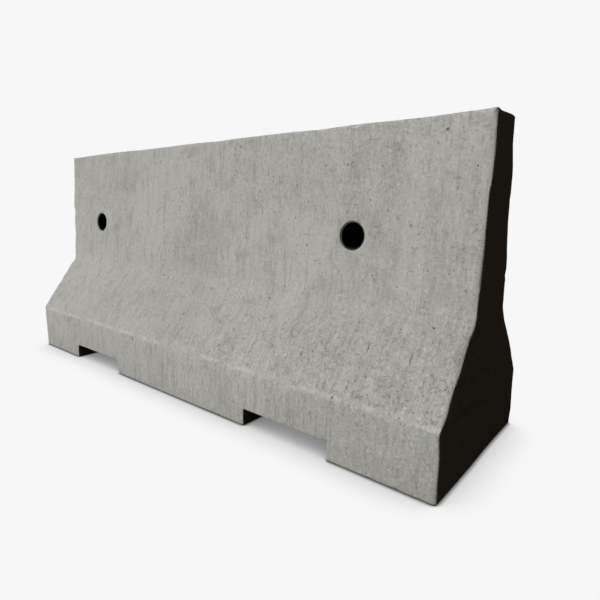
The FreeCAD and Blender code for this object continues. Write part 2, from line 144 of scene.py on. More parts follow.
# %% Round the waist, the kerb and the arrises
NEARLY = 1e-5
WAIST_FILLET = 0.028
KERB_ROUND = 0.009
ARRIS_ROUND = 0.004


def edges_where(bm, test):
    return [e for e in bm.edges if all(test(v.co) for v in e.verts)]


def edges_along(bm, level):
    """The edges that run the whole length of the unit at this height."""
    at_level = edges_where(bm, lambda co: abs(co.z - level) < NEARLY)
    return [e for e in at_level if abs(e.verts[0].co.x - e.verts[1].co.x) > END]


def each_once(things):
    """The things without repeats, in their own order, which a set would not keep from run to run."""
    return list(dict.fromkeys(things))


def round_off(bm, edges, offset, segments):
    bmesh.ops.bevel(
        bm, geom=edges, offset=offset, offset_type="OFFSET", segments=segments, profile=0.5,
        affect="EDGES", clamp_overlap=True, material=-1,
    )


round_off(casting, edges_along(casting, WAIST), WAIST_FILLET, segments=6)
round_off(casting, edges_along(casting, KERB_TOP), KERB_ROUND, segments=3)
at_crown = edges_where(casting, lambda co: co.z > CROWN - NEARLY)
at_ends = [e for end in (-END, END) for e in edges_where(casting, lambda co: abs(co.x - end) < NEARLY)]
round_off(casting, each_once(at_crown + at_ends), ARRIS_ROUND, segments=3)
tell("rounded", casting)

# %% [markdown]
# ## Slots and holes
# Two slots right through the base let forks in and water out, and two round holes take the pipe sleeves. In the
# mould they are blocks and pipes; here one cutter holds the same four shapes and a Boolean takes them away. The
# sleeves' own places in the frame set the holes.

# %% Make the cutter
SLOT_CENTRE = 0.482
SLOT_HALF = 0.1465
SLOT_TOP = 0.051
HOLE_SIDES = 72
SLEEVES = ("lifting_sleeve_left", "lifting_sleeve_right")


def sleeve_axis(node):
    """The middle of a sleeve, and its outer radius."""
    low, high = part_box(node)
    return (low + high) / 2, (high.x - low.x) / 2


def add_block(bm, low, high):
    middle, extent = (low + high) / 2, high - low
    bmesh.ops.create_cube(bm, size=1.0, matrix=Matrix.Translation(middle) @ Matrix.Diagonal((*extent, 1.0)))


def add_rod(bm, centre, radius, length):
    turned = Matrix.Translation(centre) @ Matrix.Rotation(math.pi / 2, 4, "X")
    bmesh.ops.create_cone(
        bm, cap_ends=True, segments=HOLE_SIDES, radius1=radius, radius2=radius, depth=length, matrix=turned
    )


cutter = bmesh.new()
for side in (-1, 1):
    middle = Vector((side * SLOT_CENTRE, 0.0, 0.0))
    reach = Vector((SLOT_HALF, 2 * FOOT_HALF, SLOT_TOP))
    add_block(cutter, middle - reach, middle + reach)
for node in SLEEVES:
    centre, radius = sleeve_axis(node)
    add_rod(cutter, Vector((centre.x, 0.0, centre.z)), radius, 2 * FOOT_HALF)
tell("cutter", cutter)

# %% [markdown]
# A Boolean that stays live would hide the edges it makes, and the rims still need rounding. So its result is
# settled into the mesh at once, and the cutter is thrown away.

# %% Cut the slots and the holes
def new_object(name, bm):
    mesh = bpy.data.meshes.new(name)
    bm.to_mesh(mesh)
    bm.free()
    made = bpy.data.objects.new(name, mesh)
    bpy.context.scene.collection.objects.link(made)
    return made


def cut_away(body, tool):
    """Takes the tool's shape out of the body's mesh for good, and returns the result as a bmesh."""
    boolean = body.modifiers.new("cut", "BOOLEAN")
    boolean.operation = "DIFFERENCE"
    boolean.solver = "EXACT"
    boolean.object = tool
    settled = body.evaluated_get(bpy.context.evaluated_depsgraph_get())
    bm = bmesh.new()
    bm.from_mesh(settled.to_mesh())
    bpy.data.objects.remove(body)
    bpy.data.objects.remove(tool)
    return bm


casting = cut_away(new_object("casting", casting), new_object("cutter", cutter))
tell("cut", casting)

# %% [markdown]
# The rims of the holes and the mouths of the slots are arrises too. Their edges are found by where they lie, and
# get a small bevel.

# %% Round the rims
RIM_ROUND = 0.003
MOUTH_ROUND = 0.0025
ON_THE_BORE = 0.0006
LONGEST_RIM_EDGE = 0.02


def on_hole_rim(edge):
    a, b = (v.co for v in edge.verts)
    if abs(a.y - b.y) >= LONGEST_RIM_EDGE:
        return False
    for node in SLEEVES:
        centre, radius = sleeve_axis(node)
        off = [abs(math.hypot(co.x - centre.x, co.z - centre.z) - radius) for co in (a, b)]
        if max(off) < ON_THE_BORE:
            return True
    return False


def at_slot_mouth(co):
    in_slot = abs(abs(co.x) - SLOT_CENTRE) < SLOT_HALF + NEARLY and co.z < SLOT_TOP + NEARLY
    return in_slot and abs(co.y) > KERB_HALF


rims = [e for e in casting.edges if on_hole_rim(e)]
round_off(casting, rims, RIM_ROUND, segments=2)
mouths = edges_where(casting, at_slot_mouth)
round_off(casting, mouths, MOUTH_ROUND, segments=2)
print("rims:", len(rims), "hole edges and", len(mouths), "slot edges")
tell("rims", casting)

# %% [markdown]
# ## Room for wear
# Chips and waves need vertices. Subdividing would multiply the flat middles as much as the arrises, so the block
# is sliced by planes instead: evenly along it, and closer together beside each edge. Each slice only looks at
# what lies ahead of the last one, which keeps hundreds of cuts quick.

# %% Slice the casting
BESIDE_AN_EDGE = (0.0025, 0.006, 0.011)
LEAST_STEP = 0.0012
STEP_ACROSS = 0.017
STEP_UP = 0.015
STEP_ALONG = 0.0068


def even_stops(low, high, spacing):
    count = round((high - low) / spacing)
    return [low + (high - low) * i / count for i in range(1, count)]


def stops_beside(edges):
    return [edge + side * step for edge in edges for side in (-1, 1) for step in BESIDE_AN_EDGE]


def slice_along(bm, axis, stops):
    ahead, last = bm.verts[:] + bm.edges[:] + bm.faces[:], -math.inf
    for stop in sorted(stops):
        if stop - last < LEAST_STEP:
            continue
        last = stop
        cut = bmesh.ops.bisect_plane(bm, geom=ahead, dist=1e-5, plane_co=axis * stop, plane_no=axis)
        faces = [g for g in cut["geom"] if isinstance(g, bmesh.types.BMFace)]
        faces = [f for f in faces if f.calc_center_median().dot(axis) > stop]
        ahead = each_once(e for f in faces for e in f.edges) + each_once(v for f in faces for v in f.verts) + faces


across = [side * y for y in (FOOT_HALF, CROWN_HALF) for side in (-1, 1)]
slice_along(casting, Vector((0, 1, 0)), even_stops(-FOOT_HALF, FOOT_HALF, STEP_ACROSS) + stops_beside(across))
levels = [0.0, SLOT_TOP, KERB_TOP, CROWN]
slice_along(casting, Vector((0, 0, 1)), even_stops(0.0, CROWN, STEP_UP) + stops_beside(levels))
along = [side * x for side in (-1, 1) for x in (SLOT_CENTRE - SLOT_HALF, SLOT_CENTRE + SLOT_HALF, END)]
slice_along(casting, Vector((1, 0, 0)), even_stops(-END, END, STEP_ALONG) + stops_beside(along))
bmesh.ops.remove_doubles(casting, verts=casting.verts, dist=0.0004)
bmesh.ops.dissolve_degenerate(casting, edges=casting.edges, dist=0.0002)
tell("sliced", casting)

# %% [markdown]
# ## How a casting wears
# A unit like this is dragged, stacked and knocked, so its arrises are never straight: they wave, they are rubbed
# round, and here and there a flake has broken away. A texture can't change an outline, so the wear is real shape.
# Rubbing needs to know how near an arris a place is. Each vertex is asked how deep it lies behind the planes of
# the faces near it: the smallest depth is its own face's, and the second smallest is the way to the arris.

# %% Find how near each vertex is to an arris
def both_sides(point, normal):
    mirror = Vector((1.0, -1.0, 1.0))
    return [(point, normal.normalized()), (point * mirror, (normal * mirror).normalized())]


KERB_FACES = both_sides(Vector((0, FOOT_HALF, 0)), Vector((0, KERB_TOP, FOOT_HALF - KERB_HALF)))
SLOPES = both_sides(Vector((0, KERB_HALF, KERB_TOP)), Vector((0, WAIST - KERB_TOP, KERB_HALF - WAIST_HALF)))
STEM_FACES = both_sides(Vector((0, WAIST_HALF, WAIST)), Vector((0, CROWN - WAIST, WAIST_HALF - CROWN_HALF)))
END_FACES = [(Vector((side * END, 0, 0)), Vector((side, 0, 0))) for side in (-1, 1)]
BASE_FACE = (Vector((0, 0, 0)), Vector((0, 0, -1)))
CROWN_FACE = (Vector((0, 0, CROWN)), Vector((0, 0, 1)))


def nearest_walls(co):
    """The two nearest of the faces round the foot or the stem, as (depth behind it, outward normal)."""
    flanks = [*KERB_FACES, *SLOPES, BASE_FACE] if co.z < WAIST else [*STEM_FACES, CROWN_FACE]
    return sorted(((point - co).dot(normal), normal.to_tuple()) for point, normal in flanks + END_FACES)[:2]


print("behind the crown's edge:", nearest_walls(Vector((0, CROWN_HALF, CROWN))))

# %% [markdown]
# No two castings wave alike, and noise can't give a unit the lines of its own ends and crown. So those are written
# down, as places along the edge and how far it strays outwards there in millimetres, and a smooth curve joins
# them. The stray is full at the edge and fades away into the face.

# %% Write down the lines of the ends and the crown
NEAR_END_FRONT = (
    (0.00, 1.0), (0.05, 1.0), (0.10, 1.0), (0.15, -2.5), (0.19, 1.5), (0.23, -1.0), (0.27, 1.0), (0.32, -1.0),
    (0.37, 2.5), (0.40, 0.0), (0.45, 1.5), (0.53, 2.5), (0.58, 1.0), (0.63, 0.0), (0.69, 3.5), (0.74, 3.5),
    (0.78, 1.5), (0.813, 1.0),
)
NEAR_END_BACK = (
    (0.00, -2.5), (0.05, 0.5), (0.12, 0.0), (0.20, 0.5), (0.26, 2.0), (0.33, 0.5), (0.42, 1.5), (0.47, 3.5),
    (0.56, 2.0), (0.63, 3.0), (0.65, 4.5), (0.70, 5.0), (0.76, 1.5), (0.813, 2.5),
)
FAR_END = (
    (0.00, 0.0), (0.06, 4.0), (0.168, 15.0), (0.30, 14.0), (0.42, 10.0), (0.58, 12.0), (0.72, 8.0), (0.813, 4.0),
)
CROWN_LINE = (
    (-0.915, -0.5), (-0.60, 3.0), (-0.37, 2.0), (-0.09, 3.5), (0.04, 1.5), (0.12, 3.5), (0.36, 3.5), (0.46, 1.5),
    (0.57, 4.0), (0.75, 2.5), (0.86, 5.0), (0.915, 4.5),
)


def stray(line, place):
    """Where a smooth curve through the line's stops lies at this place, in metres."""
    for (before, low), (after, high) in zip(line, line[1:]):
        if place <= after:
            t = max(0.0, (place - before) / (after - before))
            return (low + (high - low) * t * t * (3.0 - 2.0 * t)) / 1000.0
    return line[-1][1] / 1000.0


print("the crown's line strays", [round(1000 * stray(CROWN_LINE, x / 4), 1) for x in range(-3, 4)], "mm")

# %% [markdown]
# The crown also rises to a small crest at the near front corner, and the long faces get a slow wave of noise.
# Noise that is read from the vertex's own place is the same in every run.

# %% Let the faces wander
CREST = Vector((END, -CROWN_HALF, CROWN))
CREST_RISE = 0.003
END_REACH = 0.060
CROWN_REACH = 0.120
FACE_REACH = 0.050
FACE_WAVE = 0.0028
FACE_WAVELENGTH = 0.24
NOISE_GAIN = 1.4


def tone(co, wavelength, seed):
    """Smooth noise from 0 to 1 with about this wavelength."""
    wave = NOISE_GAIN * noise.noise(co / wavelength + Vector((seed, seed, seed)))
    return 0.5 + 0.5 * max(-1.0, min(1.0, wave))


def share(distance, reach):
    """1 at no distance, fading to 0 at the reach."""
    return max(0.0, 1.0 - abs(distance) / reach) ** 2


def bow(co):
    moved = co.copy()
    back = min(1.0, max(0.0, 0.5 + co.y / (2 * CROWN_HALF)))
    near = stray(NEAR_END_FRONT, co.z) * (1.0 - back) + stray(NEAR_END_BACK, co.z) * back
    moved.x += near * share(END - co.x, END_REACH) - stray(FAR_END, co.z) * share(END + co.x, END_REACH)
    moved.z += stray(CROWN_LINE, co.x) * share(CROWN - co.z, CROWN_REACH)
    moved.z += CREST_RISE * share((co - CREST).length, END_REACH)
    wave = tone(co, FACE_WAVELENGTH, seed=3.1) - 0.5
    for point, normal in KERB_FACES + SLOPES + STEM_FACES:
        moved += normal * (FACE_WAVE * share((point - co).dot(normal), FACE_REACH) * wave)
    return moved


print("the near top corner moves by", [round(1000 * v, 1) for v in bow(CREST) - CREST], "mm")

# %% [markdown]
# Rubbing goes inwards along both walls of an arris and fades on the open face. Its strength is a little
# everywhere, more in patches, and rough on a small scale. The lines of the crown and the base stay crisper than
# the rest on this unit, so they are rubbed less.

# %% Rub the arrises
RUB_REACH = 0.020
RUB_ALL_OVER = 0.0004
RUB_IN_PATCHES = 0.0034
RUB_ROUGHNESS = 0.0010
KEPT_EDGE = 0.3
LEVEL_FACE = 0.99


def rub(co, walls):
    """The point with the arris rubbed away, and how near an arris it is."""
    away = max(0.0, 1.0 - max(walls[1][0], 0.0) / RUB_REACH)
    patches, grit = tone(co, 0.13, seed=11.7) ** 2, tone(co, 0.02, seed=23.9)
    strength = RUB_ALL_OVER + RUB_IN_PATCHES * patches + RUB_ROUGHNESS * grit
    if any(abs(normal[2]) > LEVEL_FACE for _, normal in walls):
        strength *= KEPT_EDGE
    inwards = -(Vector(walls[0][1]) + Vector(walls[1][1]))
    return co + inwards * strength * away * away, away


on_kerb_line = Vector((0, -KERB_HALF, KERB_TOP))
rubbed, _ = rub(on_kerb_line, nearest_walls(on_kerb_line))
print("the kerb line is rubbed by", round(1000 * (rubbed - on_kerb_line).length, 2), "mm at the middle")

# %% [markdown]
# Flakes break out where knocks land: along the crown, the kerb line, the base and the four corners of each end.
# Each is a ball that bites shallowly into an arris. Their places come from a seeded random sequence, and a few
# larger ones are listed one by one, because they give this unit its own worn look.

# %% Choose where the flakes are
FLAKE_SEED = 41
SMALL_FLAKES = 110
FLAKE_RADIUS = (0.010, 0.034)
FLAKE_DEPTH = (0.0012, 0.0042)
WIDER_ON_THE_KERB = 1.3


def flake(x, y, z, outwards, radius, depth):
    """A ball of this radius that bites this deep into the arris at the place."""
    return Vector((x, y, z)) + Vector(outwards).normalized() * (radius - depth), radius


def between(start, stop, t):
    return start + (stop - start) * t


def scattered_flakes(count):
    dice = random.Random(FLAKE_SEED)
    found = []
    for _ in range(count):
        side, end = dice.choice((-1, -1, 1)), dice.choice((-1, 1))
        x, radius, depth = dice.uniform(-END, END), dice.uniform(*FLAKE_RADIUS), dice.uniform(*FLAKE_DEPTH)
        place = dice.choice(("crown", "kerb", "base", "base", "end stem", "end slope", "end kerb"))
        t = dice.random()
        if place == "crown":
            found.append(flake(x, side * CROWN_HALF, CROWN, (0, side, 1), radius, depth))
        elif place == "kerb":
            wide = radius * WIDER_ON_THE_KERB
            found.append(flake(x, side * KERB_HALF, KERB_TOP, (0, side, 0.4), wide, depth))
        elif place == "base":
            found.append(flake(x, side * FOOT_HALF, 0.0, (0, side, -1), radius, depth))
        elif place == "end stem":
            y, z = between(CROWN_HALF, WAIST_HALF, t), between(CROWN, WAIST, t)
            found.append(flake(end * END, side * y, z, (end, side, 0), radius, depth))
        elif place == "end slope":
            y, z = between(WAIST_HALF, KERB_HALF, t), between(WAIST, KERB_TOP, t)
            found.append(flake(end * END, side * y, z, (end, side * 0.8, 0.6), radius, depth))
        else:
            found.append(flake(end * END, side * FOOT_HALF, KERB_TOP * t, (end, side, 0), radius, depth))
    return found


LARGE_FLAKES = [
    flake(END, -0.025, CROWN + 0.003, (1.0, 0.0, 1.0), 0.024, 0.0040),
    flake(END, CROWN_HALF, CROWN, (0.5, 0.6, 1.0), 0.060, 0.0070),
    flake(END, FOOT_HALF, 0.0, (1.0, 1.0, -0.6), 0.060, 0.0040),
    flake(END, -FOOT_HALF, 0.0, (1.0, -1.0, -1.0), 0.030, 0.0045),
    flake(-END, -FOOT_HALF, 0.0, (-1.0, -1.0, -1.0), 0.040, 0.0060),
    flake(-SLOT_CENTRE + SLOT_HALF, -FOOT_HALF, 0.0, (-0.7, -0.8, -1.0), 0.060, 0.0140),
    flake(-SLOT_CENTRE + SLOT_HALF, -FOOT_HALF, SLOT_TOP, (-0.6, -1.0, 0.0), 0.022, 0.0040),
    flake(SLOT_CENTRE - SLOT_HALF, -FOOT_HALF, 0.0, (1.0, -0.7, -0.6), 0.022, 0.0030),
    flake(SLOT_CENTRE + SLOT_HALF, -FOOT_HALF, SLOT_TOP, (-0.6, -1.0, -0.4), 0.020, 0.0030),
]
flakes = LARGE_FLAKES + scattered_flakes(SMALL_FLAKES)
print("flakes:", len(flakes))

# %% [markdown]
# Now every vertex is rubbed, then moved with its face, then pushed out of any flake. An attribute remembers how
# worn the place is, so that the finish can make it paler.

# %% Wear the casting down
SCAR_ROUGHNESS = 0.05
SCAR_GRAIN = 160.0


def chip(co, flakes):
    """Pushes the point out of every ball that bites into the casting, which leaves a shallow scar."""
    bitten = 0.0
    for centre, radius in flakes:
        offset = co - centre
        if abs(offset.x) < radius and offset.length < radius:
            rough = radius * (1.0 + SCAR_ROUGHNESS * noise.noise(co * SCAR_GRAIN))
            co = centre + offset.normalized() * rough
            bitten = 1.0
    return co, bitten


def wear_down(bm, flakes):
    worn = bm.verts.layers.float.new("wear")
    for v in bm.verts:
        v.co, away = rub(v.co, nearest_walls(v.co))
        v.co, bitten = chip(bow(v.co), flakes)
        v.co.z = max(v.co.z, 0.0)
        v[worn] = max(away * away, bitten)
    return sum(v[worn] == 1.0 for v in bm.verts)


print("vertices worn all the way:", wear_down(casting, flakes))

# %% [markdown]
# The finished mesh becomes the piece that stands for the CAD casting. It is shaded smooth: its roundings are
# real, so no shading trick has to pretend them.

# %% Make the casting a piece
bmesh.ops.recalc_face_normals(casting, faces=casting.faces)
for face in casting.faces:
    face.smooth = True
concrete = new_object("concrete_casting", casting)
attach(concrete, "root")
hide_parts("concrete_body")
print("casting:", len(concrete.data.polygons), "faces, spans", [round(v, 3) for v in concrete.dimensions])

# %% [markdown]
# ## Writing finishes as sums
# A concrete finish is many masks added and multiplied, and wiring dozens of Math nodes by hand hides that. `Mask`
# wraps one socket, so Python's own operators add the Math nodes, and `Wiring.node` adds any other node.

# %% A small language for shaders
class Mask:
    """One output of a node. Arithmetic on it adds Math nodes to the same wiring."""

    def __init__(self, wiring, socket):
        self.wiring, self.socket = wiring, socket

    def maths(self, operation, *values):
        return self.wiring.node("ShaderNodeMath", {"operation": operation}, dict(enumerate(values)))

    def __add__(self, other):
        return self.maths("ADD", self, other)

    def __sub__(self, other):
        return self.maths("SUBTRACT", self, other)

    def __rsub__(self, other):
        return self.maths("SUBTRACT", other, self)

    def __mul__(self, other):
        return self.maths("MULTIPLY", self, other)

    __radd__ = __add__
    __rmul__ = __mul__

    def size(self):
        return self.maths("ABSOLUTE", self)

    def at_most(self, limit):
        return self.maths("MINIMUM", self, limit)

    def ramp(self, low, high, start=0.0, end=1.0):
        """Start below low, end above high, and smooth between. With low above high it runs the other way."""
        settings = {"interpolation_type": "SMOOTHSTEP"}
        return self.wiring.node("ShaderNodeMapRange", settings, {0: self, 1: low, 2: high, 3: start, 4: end})


class Wiring:
    """A node tree that is filled by writing expressions."""

    def __init__(self, tree):
        self.tree = tree

    def node(self, kind, settings=None, values=None, output=0):
        made = self.tree.nodes.new(kind)
        for name, value in (settings or {}).items():
            setattr(made, name, value)
        for key, value in (values or {}).items():
            self.feed(made.inputs[key], value)
        return Mask(self, made.outputs[output])

    def feed(self, socket, value):
        if isinstance(value, Mask):
            self.tree.links.new(value.socket, socket)
        else:
            socket.default_value = value

    def axes(self, vector):
        parts = self.node("ShaderNodeSeparateXYZ", None, {0: vector}).socket.node
        return [Mask(self, output) for output in parts.outputs]


print("Python operators that add nodes:", [name for name in vars(Mask) if name.endswith(("add__", "sub__", "mul__"))])

# %% [markdown]
# `Finish` is the wiring of a material. It adds what materials share: the piece's own coordinates, noise, round
# spots, coats of colour and a bump.

# %% The patterns that finishes are made of
class Finish(Wiring):
    """A material under construction, with the piece's own coordinates at hand."""

    def __init__(self, name, roughness, specular):
        self.material = bpy.data.materials.new(name)
        self.material.use_nodes = True
        super().__init__(self.material.node_tree)
        self.shader = self.tree.nodes["Principled BSDF"]
        self.shader.inputs["Roughness"].default_value = roughness
        self.shader.inputs["Specular IOR Level"].default_value = specular
        self.place = self.node("ShaderNodeTexCoord", output="Object")
        self.x, self.y, self.z = self.axes(self.place)

    def stretched(self, scale):
        """The piece's coordinates, scaled by axis, so that a pattern can run one way."""
        return self.node("ShaderNodeMapping", {"vector_type": "POINT"}, {"Vector": self.place, "Scale": scale})

    def noise(self, scale, detail=2.0, roughness=0.5, at=None, distortion=0.0):
        values = {"Scale": scale, "Detail": detail, "Roughness": roughness, "Distortion": distortion}
        return self.node("ShaderNodeTexNoise", None, {"Vector": at or self.place, **values})

    def speckles(self, scale, rarity, radius, at=None):
        """Scattered round spots: 1 in the middle of a few of the cells round scattered points."""
        cells = {"Vector": at or self.place, "Scale": scale}
        chance = self.node("ShaderNodeTexVoronoi", None, cells, output="Color")
        chosen = self.node("ShaderNodeSeparateColor", None, {0: chance}).ramp(rarity, rarity + 0.02)
        return chosen * self.node("ShaderNodeTexVoronoi", None, cells, output="Distance").ramp(radius, radius * 0.55)

    def mix(self, mask, colour, other):
        settings = {"data_type": "RGBA", "blend_type": "MIX", "clamp_factor": True}
        return self.node("ShaderNodeMix", settings, {0: mask, 6: colour, 7: other}, output=2)

    def coat(self, colour, coats):
        """Lays one coat after another over the colour, each as (where, what)."""
        for mask, other in coats:
            colour = self.mix(mask, colour, other)
        return colour

    def bump(self, height, distance, strength=1.0):
        return self.node("ShaderNodeBump", None, {"Height": height, "Distance": distance, "Strength": strength})

    def finish(self, colour, roughness, normal, metallic=0.0):
        wanted = {"Base Color": colour, "Roughness": roughness, "Normal": normal, "Metallic": metallic}
        for name, value in wanted.items():
            self.feed(self.shader.inputs[name], value)
        return self.material


def tint(red, green, blue):
    return (red, green, blue, 1.0)


print("patterns:", [name for name in vars(Finish) if not name.startswith("_")])

# %% [markdown]
# ## The concrete
# Cast concrete is never one grey. Cement paste lies in soft clouds and bands, sand shows through as fine salt and
# pepper, air bubbles leave round pinholes, and fine streaks run up and down the face. Rain adds dark runs, and
# rubbed arrises show paler. Each of these is one mask, at its real size in metres. An image would be quicker, but
# it would repeat, and it would stretch over the waist and the chips. First come the plain patterns.

# %% Choose the concrete's patterns
PASTE = tint(0.400, 0.392, 0.366)
PALE_PASTE_AND_LIGHT = tint(0.475, 0.468, 0.440)
DARK_PASTE_AND_SHADE = tint(0.325, 0.320, 0.290)
DARK_SAND = tint(0.205, 0.200, 0.182)
PALE_SAND = tint(0.640, 0.630, 0.595)
PAINTED_PINHOLE_AND_CONTACT_SHADE = tint(0.110, 0.104, 0.092)


def up_the_face(finish, squeeze):
    """Coordinates on which a pattern comes out long and thin, running up the face."""
    return finish.stretched((1.0, squeeze, squeeze))


cast = Finish("cast_concrete", roughness=0.9, specular=0.25)
clouds = cast.noise(2.6, detail=3.0, roughness=0.55, distortion=0.6)
patches = cast.noise(3.4).ramp(0.40, 0.62)
bands = cast.noise(8.5, at=up_the_face(cast, 0.22))
mottle = cast.noise(17.0, detail=4.0, roughness=0.6)
crumbs = cast.noise(120.0, detail=3.0, roughness=0.65)
sand = cast.noise(330.0, roughness=0.7)
streaks = cast.noise(75.0, detail=3.0, roughness=0.62, at=up_the_face(cast, 0.10))
dashes = cast.noise(170.0, roughness=0.6, at=up_the_face(cast, 0.17))
drips = cast.noise(95.0, detail=3.0, roughness=0.6, at=up_the_face(cast, 0.04))
print("patterns so far:", len(cast.tree.nodes), "nodes")

# %% [markdown]
# Next come the places. The streaks belong to the long faces and not to the ends. On this unit the foot is rougher
# towards the near end, and the kerb is smoother than the slope above. Painted shade makes the foot darker towards
# the near end, away from the key light, darker on the kerb and near the floor, and painted light makes it paler
# towards the far end.

# %% Say where on the unit a pattern belongs
flank = cast.x.size().ramp(END - 0.004, END - 0.012)
foot = cast.z.ramp(WAIST + 0.07, WAIST - 0.05)
kerb = cast.z.ramp(KERB_TOP, KERB_TOP - 0.02)
wet_kerb = cast.z.ramp(0.14, 0.03)
# painted shade near the floor: darker towards the bottom
painted_shade_near_floor = cast.z.ramp(0.09, 0.0)
# painted contact shade: the last few millimetres above the floor
painted_contact_shade = cast.z.ramp(0.007, 0.002)
nearer = cast.x.ramp(-1.0, 1.1)
rough_slope = foot * (1.0 - kerb * 0.8) * nearer
coarse = 0.64 + patches * 0.30 + nearer * 0.14 + rough_slope * 0.34
print("with the places:", len(cast.tree.nodes), "nodes")

# %% [markdown]
# The colour is built as a painter would, from the widest and faintest coat to the smallest: the paste's clouds
# and bands, the streaks and the rain's runs, and then crumbs and sand. Most patterns are used twice, dark at one
# end of their range and pale at the other.

# %% Lay the paste and the sand
colour = cast.coat(PASTE, [
    (clouds.ramp(0.36, 0.66), PALE_PASTE_AND_LIGHT),
    # painted shade: the foot darker towards the near end, away from the key light, and darker still on the kerb
    (foot * nearer * (0.42 + kerb * 0.25), DARK_PASTE_AND_SHADE),
    # painted light: the foot paler towards the far end, the side the key light comes from
    (foot * (1.0 - nearer) * 0.55, PALE_PASTE_AND_LIGHT),
    (bands.ramp(0.49, 0.64) * flank * 0.55, PALE_PASTE_AND_LIGHT),
    (mottle.ramp(0.50, 0.72) * 0.62, DARK_PASTE_AND_SHADE),
    (mottle.ramp(0.50, 0.28) * 0.50, PALE_PASTE_AND_LIGHT),
    (streaks.ramp(0.53, 0.72) * flank * 0.65, DARK_PASTE_AND_SHADE),
    (streaks.ramp(0.46, 0.30) * flank * 0.48, PALE_PASTE_AND_LIGHT),
    (dashes.ramp(0.53, 0.72) * flank * coarse * (0.32 - rough_slope * 0.15), DARK_SAND),
    (dashes.ramp(0.46, 0.28) * flank * coarse * 0.26, PALE_SAND),
    (drips.ramp(0.50, 0.70) * flank * kerb * 0.45, DARK_PASTE_AND_SHADE),
    (drips.ramp(0.52, 0.66) * flank * wet_kerb * 0.40, DARK_SAND),
    # painted shade: darker over the lowest few centimetres, near the floor
    (painted_shade_near_floor * 0.40, DARK_PASTE_AND_SHADE),
    (crumbs.ramp(0.52, 0.72) * coarse * 0.48, DARK_SAND),
    (crumbs.ramp(0.46, 0.28) * coarse * 0.42, PALE_SAND),
    (sand.ramp(0.54, 0.74) * coarse * 0.50, DARK_SAND),
    (sand.ramp(0.44, 0.26) * coarse * 0.40, PALE_SAND),
])
print("with the paste and the sand:", len(cast.tree.nodes), "nodes")

# %% [markdown]
# Wear and weather come over that. The attribute from the mesh says where an arris is rubbed or chipped, and the
# crumbs break it up. Pinholes are rare round spots of three sizes, painted near black as the shade inside their
# hollows; pocks are shallow and ragged, and scores and scratches are spots that the stretched coordinates pull
# long. A near-black line in the last few millimetres above the floor is painted contact shade.

# %% Add rubbed edges, pinholes, pocks and scratches
worn = cast.node("ShaderNodeAttribute", {"attribute_name": "wear", "attribute_type": "GEOMETRY"}, output="Fac")
rubbed_pale = worn.ramp(0.45, 0.92) * (mottle + crumbs * 0.5).ramp(0.70, 0.86)
large, medium = cast.speckles(58.0, 0.976, 0.24), cast.speckles(96.0, 0.972, 0.23)
small = cast.speckles(170.0, 0.93, 0.25)
pinholes = (large + medium + small * 0.6).at_most(1.0) * (1.0 - kerb * 0.6)
pocks = cast.noise(75.0, detail=4.0, roughness=0.66, distortion=1.2).ramp(0.645, 0.70)
ragged = cast.noise(62.0, detail=3.0, roughness=0.6, distortion=0.7)
dents = ragged.ramp(0.575, 0.66) * rough_slope * patches.ramp(-0.4, 0.6)
scores = cast.speckles(70.0, 0.88, 0.16, at=up_the_face(cast, 0.13)) * flank * (0.4 + foot * 0.6)
scratches = cast.speckles(44.0, 0.84, 0.07, at=up_the_face(cast, 0.045)) * flank
flecks = cast.speckles(95.0, 0.90, 0.20)
colour = cast.coat(colour, [
    (rubbed_pale * 0.60, PALE_SAND),
    # painted contact shade: a near-black line where the unit meets the floor
    (painted_contact_shade * 0.9, PAINTED_PINHOLE_AND_CONTACT_SHADE),
    (flecks * 0.55, PALE_SAND),
    (dents * 0.30, DARK_SAND),
    (pocks * 0.42, DARK_SAND),
    (scores * 0.65, DARK_SAND),
    (scratches * 0.60, DARK_SAND),
    # pinholes: dents in the bump, painted near black as the shade inside them
    (pinholes * 0.80, PAINTED_PINHOLE_AND_CONTACT_SHADE),
])
print("with the marks:", len(cast.tree.nodes), "nodes")

# %% [markdown]
# The same masks, added up as heights, give the relief, so that a dark pinhole is also a dent. Only grain this
# fine is left to bump: the waves, the rubbing and the chips are in the mesh.

# %% Raise the concrete's grain
GRAIN_DEPTH = 0.0022
height = mottle * 0.55 + crumbs * 0.25 + sand * 0.16 + streaks * 0.30 + dashes * 0.20 + flecks * 0.15
height = height - pinholes * 0.9 - scores * 0.5 - scratches * 0.3 - dents * 0.6 - pocks * 0.6
relief = cast.bump(height, GRAIN_DEPTH, strength=0.85)
concrete.data.materials.append(cast.finish(colour, 0.86 + mottle * 0.10, relief))
print("concrete nodes:", len(cast.tree.nodes))

# %% [markdown]
# ## The pipe sleeves
# Each hole is lined with a cut length of black pipe, set a few millimetres back from the face. The CAD solids
# have the right shape, so they stay and only get a finish: dull black, with cement dust that fades inwards from
# each end.

# %% Finish the sleeves
BLACK_PIPE = tint(0.012, 0.012, 0.012)
PIPE_DUST = tint(0.150, 0.145, 0.130)
DUST_FROM, DUST_FULL = 0.062, 0.084


def dress(nodes, material):
    for node in nodes:
        mesh = frame["nodes"][node].data
        mesh.materials.clear()
        mesh.materials.append(material)


def make_pipe_finish():
    f = Finish("black_pipe", roughness=0.55, specular=0.4)
    grime = f.noise(45.0, detail=4.0, roughness=0.6)
    drawn = f.noise(260.0, detail=1.0, at=f.stretched((1.0, 0.08, 1.0)))
    dust = f.y.size().ramp(DUST_FROM, DUST_FULL) * grime.ramp(0.35, 0.70)
    colour = f.mix(dust * 0.5, BLACK_PIPE, PIPE_DUST)
    return f.finish(colour, 0.60 + dust * 0.35, f.bump(drawn * 0.4 + grime * 0.6, distance=0.0004))


dress(SLEEVES, make_pipe_finish())
print("sleeves:", SLEEVES)

